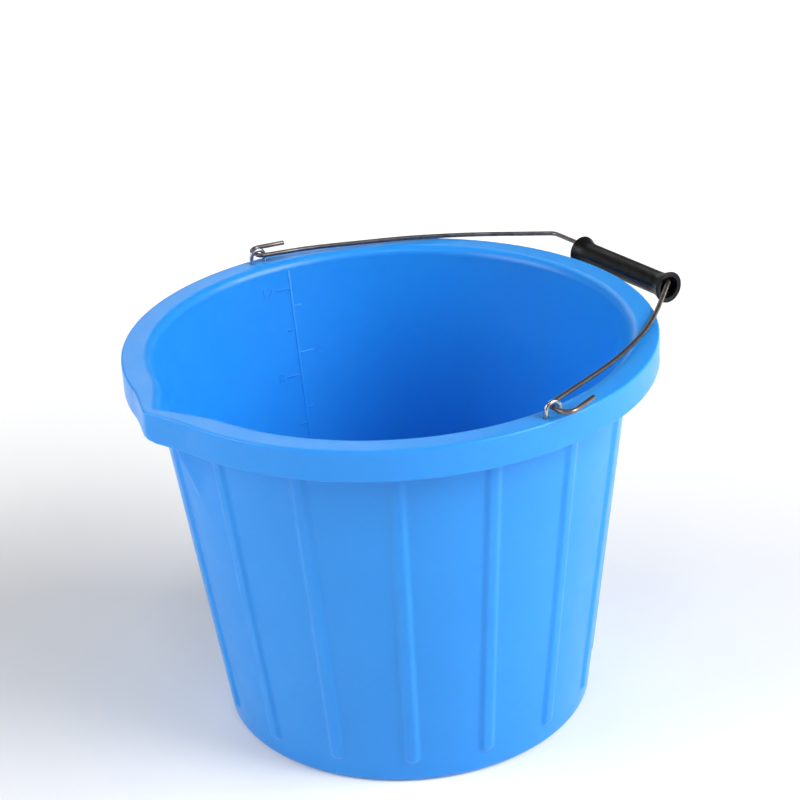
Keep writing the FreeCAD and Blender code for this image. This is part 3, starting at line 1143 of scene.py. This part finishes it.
@dataclass(frozen=True)
class StudioCamera:
    """Camera above the rim, between the lip's side and the right eye's."""

    azimuth: float = 56.861
    elevation: float = 27.553
    distance: float = 1384.4
    target_height: float = 132.8
    pitch: float = 2.743
    yaw: float = 0.170
    roll: float = -3.372
    lens: float = 96.90
    sensor: float = 36.0
    sees: tuple = (0.05, 60.0)  # nearest and farthest distance, m

    def place(self) -> None:
        """Make the scene's camera."""
        turn = math.radians(self.azimuth)
        tip, swing, roll = (math.radians(v) for v in (self.pitch, self.yaw, self.roll))
        back = towards(self.azimuth, self.elevation)
        ahead = -back
        right = Vector((math.cos(turn), math.sin(turn), 0.0))
        up = right.cross(ahead)
        tipped = ahead * math.cos(tip) + up * math.sin(tip)
        tipped_up = up * math.cos(tip) - ahead * math.sin(tip)
        view = tipped * math.cos(swing) + right * math.sin(swing)
        level = right * math.cos(swing) - tipped * math.sin(swing)
        right = level * math.cos(roll) + tipped_up * math.sin(roll)
        up = tipped_up * math.cos(roll) - level * math.sin(roll)
        lens = bpy.data.cameras.new("studio_camera")
        lens.lens = self.lens
        lens.sensor_width = self.sensor
        lens.clip_start, lens.clip_end = self.sees
        camera = bpy.data.objects.new("studio_camera", lens)
        bpy.context.scene.collection.objects.link(camera)
        matrix = Matrix((right, up, -view)).transposed().to_4x4()
        matrix.translation = (back * self.distance + Vector((0.0, 0.0, self.target_height))) * MM
        camera.matrix_world = matrix
        bpy.context.scene.camera = camera


@dataclass(frozen=True)
class Softbox:
    """Large soft lamp that faces the bucket and isn't seen itself."""

    name: str
    azimuth: float
    elevation: float
    size: float  # m
    power: float  # W
    distance: float = 3.0  # m
    aim_height: float = 0.15  # m
    colour: str = WHITE

    def place(self) -> None:
        """Hang the lamp."""
        aim = Vector((0.0, 0.0, self.aim_height))
        way = towards(self.azimuth, self.elevation)
        lamp = bpy.data.lights.new(self.name, "AREA")
        lamp.shape = "SQUARE"
        lamp.size = self.size
        lamp.energy = self.power
        lamp.color = linear(self.colour)[:3]
        holder = bpy.data.objects.new(self.name, lamp)
        bpy.context.scene.collection.objects.link(holder)
        holder.matrix_world = (Matrix.Translation(aim + way * self.distance)
                               @ way.to_track_quat("Z", "Y").to_matrix().to_4x4())
        holder.visible_camera = False


@dataclass(frozen=True)
class Studio:
    """Pale floor, even sky and soft lamps."""

    floor_radius: float = 9.0  # m
    floor_sides: int = 96
    sky: str = WHITE
    horizon_strength: float = 0.46
    zenith_strength: float = 0.10
    fade_top: float = 0.34  # sine of the height from which the sky has its zenith strength
    lamps: tuple = (
        Softbox("softbox_right", azimuth=128.0, elevation=34.0, size=2.0, power=98.0),
        Softbox("softbox_front", azimuth=113.0, elevation=35.0, size=1.6, power=24.0),
        Softbox("softbox_left", azimuth=-18.0, elevation=30.0, size=2.0, power=56.0),
        Softbox("softbox_back", azimuth=248.0, elevation=31.0, size=1.3, power=9.0),
        Softbox("softbox_overhead", azimuth=50.0, elevation=64.0, size=0.5, power=8.0),
    )

    def build(self) -> None:
        """Set up the whole studio."""
        deselect()
        bpy.ops.mesh.primitive_circle_add(vertices=self.floor_sides, radius=self.floor_radius,
                                          fill_type="NGON", location=(0.0, 0.0, 0.0))
        floor = name_new("studio_floor")
        floor.data.materials.append(PaintedFloor().build())
        world = bpy.data.worlds.new("studio_sky")
        bpy.context.scene.world = world
        world.use_nodes = True
        tree = world.node_tree
        tree.nodes.clear()
        way = add_node(tree, "ShaderNodeTexCoord").outputs["Generated"]
        parts = add_node(tree, "ShaderNodeSeparateXYZ", links={"Vector": way})
        fade = add_node(tree, "ShaderNodeMapRange", settings={"interpolation_type": "SMOOTHSTEP"},
                        values={"From Min": 0.0, "From Max": self.fade_top,
                                "To Min": self.horizon_strength, "To Max": self.zenith_strength},
                        links={"Value": parts.outputs["Z"]})
        glow = add_node(tree, "ShaderNodeBackground", values={"Color": linear(self.sky)},
                        links={"Strength": fade.outputs["Result"]})
        add_node(tree, "ShaderNodeOutputWorld", links={"Surface": glow.outputs["Background"]})
        for lamp in self.lamps:
            lamp.place()
        StudioCamera().place()
        bpy.context.scene.view_settings.view_transform = "Standard"
        bpy.context.scene.view_settings.look = "None"


# ---- the whole bucket ----

def make_bucket() -> None:
    """Build, dress and mount every piece of the bucket."""
    bucket = BucketMoulding()
    moulding = bucket.make()
    MeasuringScale(bucket).add_to(moulding)
    smooth(moulding, bucket.crease)
    dress(moulding, MouldedPolypropylene().build())
    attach(moulding, "bucket")
    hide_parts("bucket_body")
    report(moulding)

    zinc = ZINC_PLATED.build()
    for side, node in ((Side.RIGHT, "eye_right"), (Side.LEFT, "eye_left")):
        staple = Eye(side, bucket).make()
        smooth(staple, WirePen.crease)
        dress(staple, zinc)
        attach(staple, "bucket")
        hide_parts(node)
        report(staple)

    bail = Bail()
    wire = bail.make()
    smooth(wire, WirePen.crease)
    dress(wire, BARE_STEEL.build())
    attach(wire, "bail")
    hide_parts("bail_wire")
    report(wire)

    grip = HandGrip(bail)
    sleeve = grip.make()
    smooth(sleeve, grip.crease)
    dress(sleeve, MouldedPolyethylene().build())
    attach(sleeve, "grip")
    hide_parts("hand_grip")
    report(sleeve)


def main() -> None:
    """Build the bucket and its studio."""
    logging.basicConfig(level=logging.INFO, format="%(name)s: %(message)s")
    make_bucket()
    Studio().build()
    deselect()


if __name__ == "__main__":
    main()
